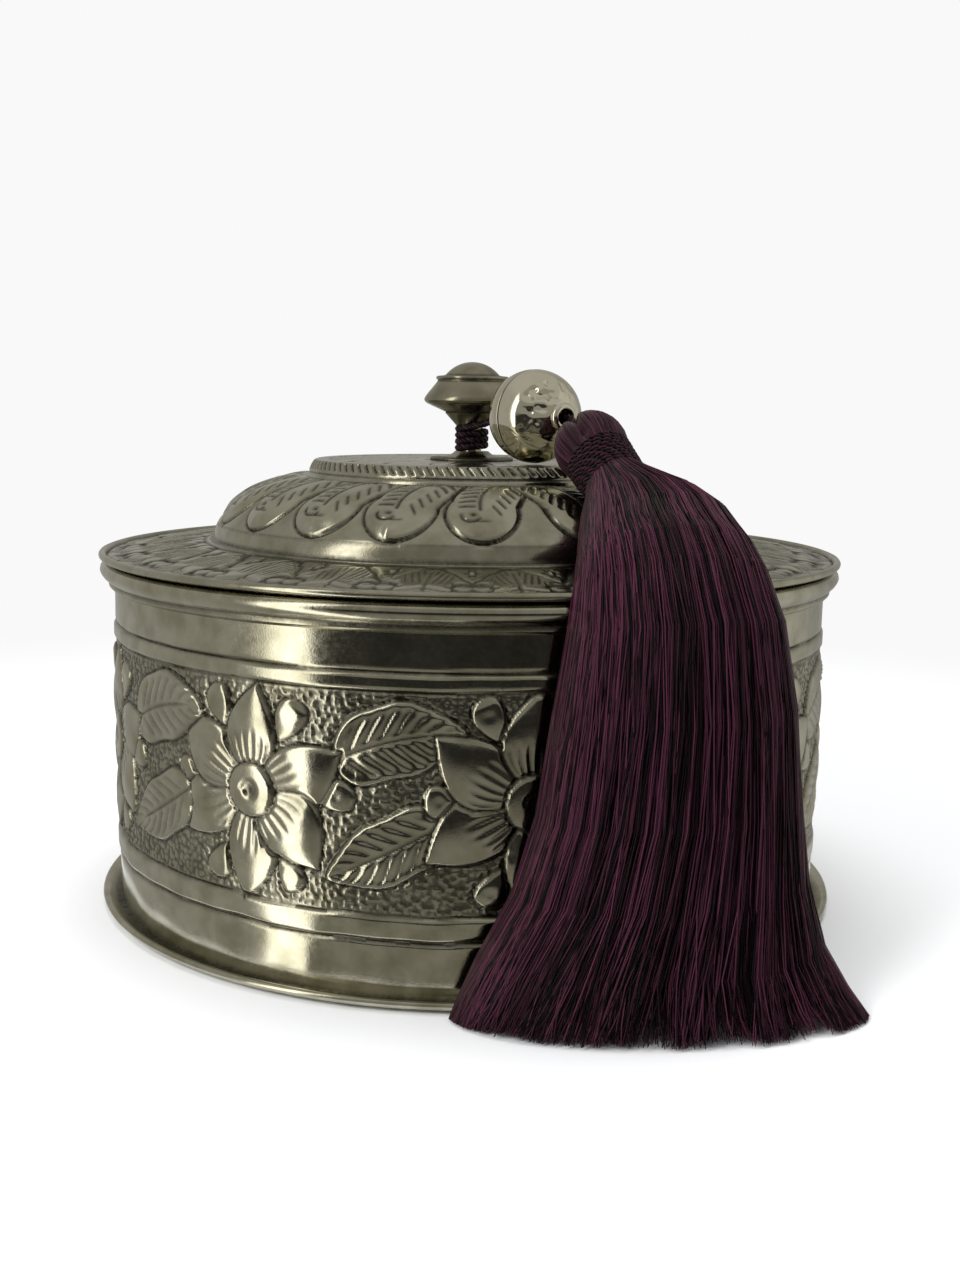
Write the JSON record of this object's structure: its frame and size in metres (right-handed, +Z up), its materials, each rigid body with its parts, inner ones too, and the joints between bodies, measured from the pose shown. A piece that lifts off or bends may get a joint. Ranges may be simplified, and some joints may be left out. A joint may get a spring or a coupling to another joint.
{
  "type": "lidded metal box",
  "caption": "Round lidded metal box with a chased floral band, a domed lid, a turned knob and a silk tassel hung from it through a metal bead.",
  "frame": {"origin": "on the table, at the middle of the box's flat underside", "axes": "+Z up along the axis of the box and knob; -Y is the front, and the tassel hangs at the front towards +X"},
  "size_m": [0.202, 0.2178, 0.1446],
  "materials": {
    "white_metal": "aged white metal sheet with the look of nickel silver, chased, with dark patina in the recesses",
    "bead_metal": "thin pressed white metal, polished and dented",
    "steel": "plain zinc-plated hardware",
    "silk_cord": "tightly twisted aubergine cord of silk or a silk-like thread",
    "silk_thread": "glossy aubergine threads of silk or a silk-like thread"
  },
  "bodies": {
    "box": {"base_plate": "white_metal", "body_wall": "white_metal", "rim_ring": "white_metal"},
    "lid": {"lid_brim": "white_metal", "lid_collar": "white_metal", "lid_dome": "white_metal", "lid_crown": "white_metal", "knob_foot": "white_metal", "knob": "white_metal", "knob_stud": "steel", "knob_washer": "steel", "knob_nut": "steel"},
    "cord": {"knob_cord": "silk_cord"},
    "bead": {"bead_outer_half": "bead_metal", "bead_outer_eyelet": "bead_metal", "bead_inner_half": "bead_metal", "bead_inner_eyelet": "bead_metal"},
    "tassel": {"tassel_tie": "silk_cord", "tassel_head": "silk_thread", "tassel_binding": "silk_cord", "tassel_skirt": "silk_thread"}
  },
  "joints": [
    {"name": "lid_lift", "type": "slide", "parent": "box", "child": "lid", "axis": [0, 0, 1], "range_m": [0, 0.12]},
    {"name": "tassel_orbit", "type": "hinge", "parent": "lid", "child": "cord", "pos_m": [0, 0, 0.125], "axis": [0, 0, 1], "continuous": true},
    {"name": "bead_spin", "type": "hinge", "parent": "cord", "child": "bead", "pos_m": [0.0164, -0.02343, 0.1305], "axis": [0.5736, -0.8192, 0], "continuous": true},
    {"name": "tassel_swing", "type": "hinge", "parent": "cord", "child": "tassel", "pos_m": [0.02495, -0.03563, 0.1305], "axis": [-0.9135, -0.4067, 0], "range_deg": [0, 75]}
  ]
}
